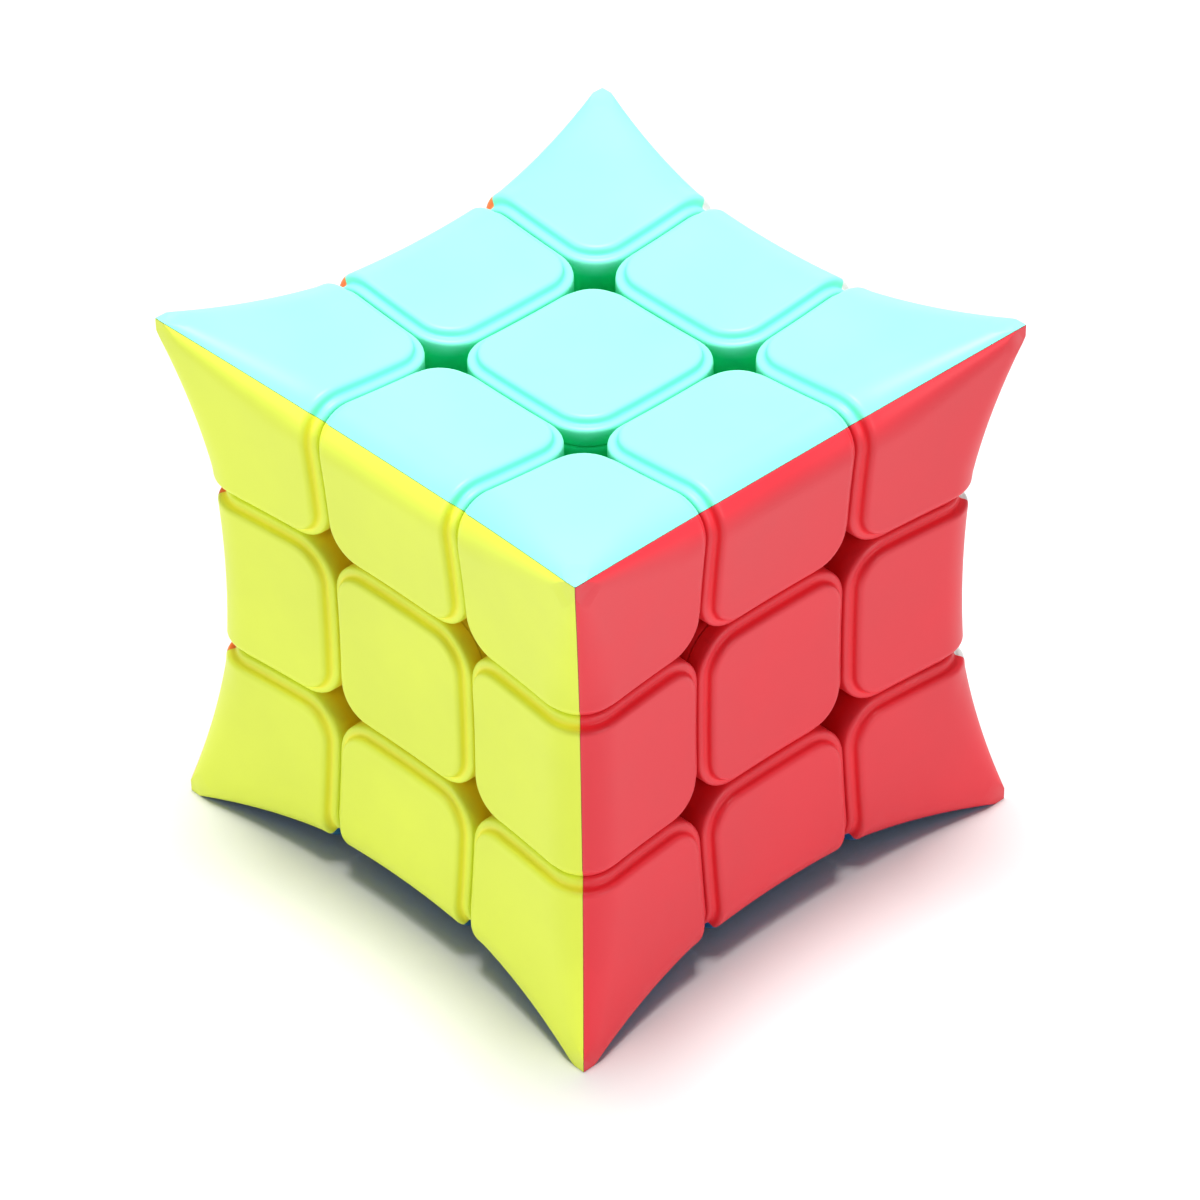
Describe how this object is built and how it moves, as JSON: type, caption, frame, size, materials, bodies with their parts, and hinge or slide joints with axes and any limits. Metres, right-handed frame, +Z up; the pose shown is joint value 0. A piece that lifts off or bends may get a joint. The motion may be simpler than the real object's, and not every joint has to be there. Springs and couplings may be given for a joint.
{
  "type": "star-shaped twisty puzzle cube",
  "caption": "Twisty puzzle cube with dished faces that reach out to pointed corners, in plain coloured plastic; its top and bottom layers turn on sprung screws.",
  "frame": {"origin": "middle of the puzzle, at the centre of its core", "axes": "+Z up through the turquoise face, +X to the red face, -Y to the yellow face"},
  "size_m": [0.057, 0.057, 0.057],
  "materials": {
    "turquoise_plastic": "satin moulded plastic, coloured right through",
    "blue_plastic": "satin moulded plastic, coloured right through",
    "yellow_plastic": "satin moulded plastic, coloured right through",
    "white_plastic": "satin moulded plastic, coloured right through",
    "red_plastic": "satin moulded plastic, coloured right through",
    "orange_plastic": "satin moulded plastic, coloured right through",
    "inner_plastic": "matt moulded plastic",
    "black_plastic": "matt moulded plastic",
    "steel": "bright zinc plate",
    "spring_steel": "drawn spring wire"
  },
  "bodies": {
    "core": {"core": "black_plastic", "spring_up": "spring_steel", "screw_up": "steel", "spring_down": "spring_steel", "screw_down": "steel", "spring_front": "spring_steel", "screw_front": "steel", "spring_back": "spring_steel", "screw_back": "steel", "spring_right": "spring_steel", "screw_right": "steel", "spring_left": "spring_steel", "screw_left": "steel", "edge_back_right": "white_plastic", "edge_left_back": "orange_plastic", "edge_front_left": "yellow_plastic", "edge_right_front": "red_plastic"},
    "up_layer": {"centre_body_up": "turquoise_plastic", "centre_cap_up": "turquoise_plastic", "edge_up_back": "turquoise_plastic", "corner_up_back_right": "turquoise_plastic", "corner_foot_up_back_right": "inner_plastic", "edge_up_left": "turquoise_plastic", "corner_up_left_back": "turquoise_plastic", "corner_foot_up_left_back": "inner_plastic", "edge_up_front": "turquoise_plastic", "corner_up_front_left": "turquoise_plastic", "corner_foot_up_front_left": "inner_plastic", "edge_up_right": "turquoise_plastic", "corner_up_right_front": "turquoise_plastic", "corner_foot_up_right_front": "inner_plastic"},
    "up_washer": {"washer_up": "steel"},
    "down_layer": {"centre_body_down": "blue_plastic", "centre_cap_down": "blue_plastic", "edge_down_front": "blue_plastic", "corner_down_front_right": "blue_plastic", "corner_foot_down_front_right": "inner_plastic", "edge_down_right": "blue_plastic", "corner_down_right_back": "blue_plastic", "corner_foot_down_right_back": "inner_plastic", "edge_down_back": "blue_plastic", "corner_down_back_left": "blue_plastic", "corner_foot_down_back_left": "inner_plastic", "edge_down_left": "blue_plastic", "corner_down_left_front": "blue_plastic", "corner_foot_down_left_front": "inner_plastic"},
    "down_washer": {"washer_down": "steel"},
    "front_centre": {"centre_body_front": "yellow_plastic", "centre_cap_front": "yellow_plastic", "washer_front": "steel"},
    "back_centre": {"centre_body_back": "white_plastic", "centre_cap_back": "white_plastic", "washer_back": "steel"},
    "right_centre": {"centre_body_right": "red_plastic", "centre_cap_right": "red_plastic", "washer_right": "steel"},
    "left_centre": {"centre_body_left": "orange_plastic", "centre_cap_left": "orange_plastic", "washer_left": "steel"}
  },
  "joints": [
    {"name": "up_lift", "type": "slide", "parent": "core", "child": "up_washer", "axis": [0, 0, 1], "range_m": [0, 0.0005], "stiffness_N_per_m": 1500, "springref_m": -0.002, "deforming": ["spring_up"]},
    {"name": "up_turn", "type": "hinge", "parent": "up_washer", "child": "up_layer", "pos_m": [0, 0, 0], "axis": [0, 0, 1], "continuous": true},
    {"name": "down_lift", "type": "slide", "parent": "core", "child": "down_washer", "axis": [0, 0, -1], "range_m": [0, 0.0005], "stiffness_N_per_m": 1500, "springref_m": -0.002, "deforming": ["spring_down"]},
    {"name": "down_turn", "type": "hinge", "parent": "down_washer", "child": "down_layer", "pos_m": [0, 0, 0], "axis": [0, 0, -1], "continuous": true},
    {"name": "front_lift", "type": "slide", "parent": "core", "child": "front_centre", "axis": [0, -1, 0], "range_m": [0, 0.0005], "stiffness_N_per_m": 1500, "springref_m": -0.002, "deforming": ["spring_front"]},
    {"name": "back_lift", "type": "slide", "parent": "core", "child": "back_centre", "axis": [0, 1, 0], "range_m": [0, 0.0005], "stiffness_N_per_m": 1500, "springref_m": -0.002, "deforming": ["spring_back"]},
    {"name": "right_lift", "type": "slide", "parent": "core", "child": "right_centre", "axis": [1, 0, 0], "range_m": [0, 0.0005], "stiffness_N_per_m": 1500, "springref_m": -0.002, "deforming": ["spring_right"]},
    {"name": "left_lift", "type": "slide", "parent": "core", "child": "left_centre", "axis": [-1, 0, 0], "range_m": [0, 0.0005], "stiffness_N_per_m": 1500, "springref_m": -0.002, "deforming": ["spring_left"]}
  ]
}
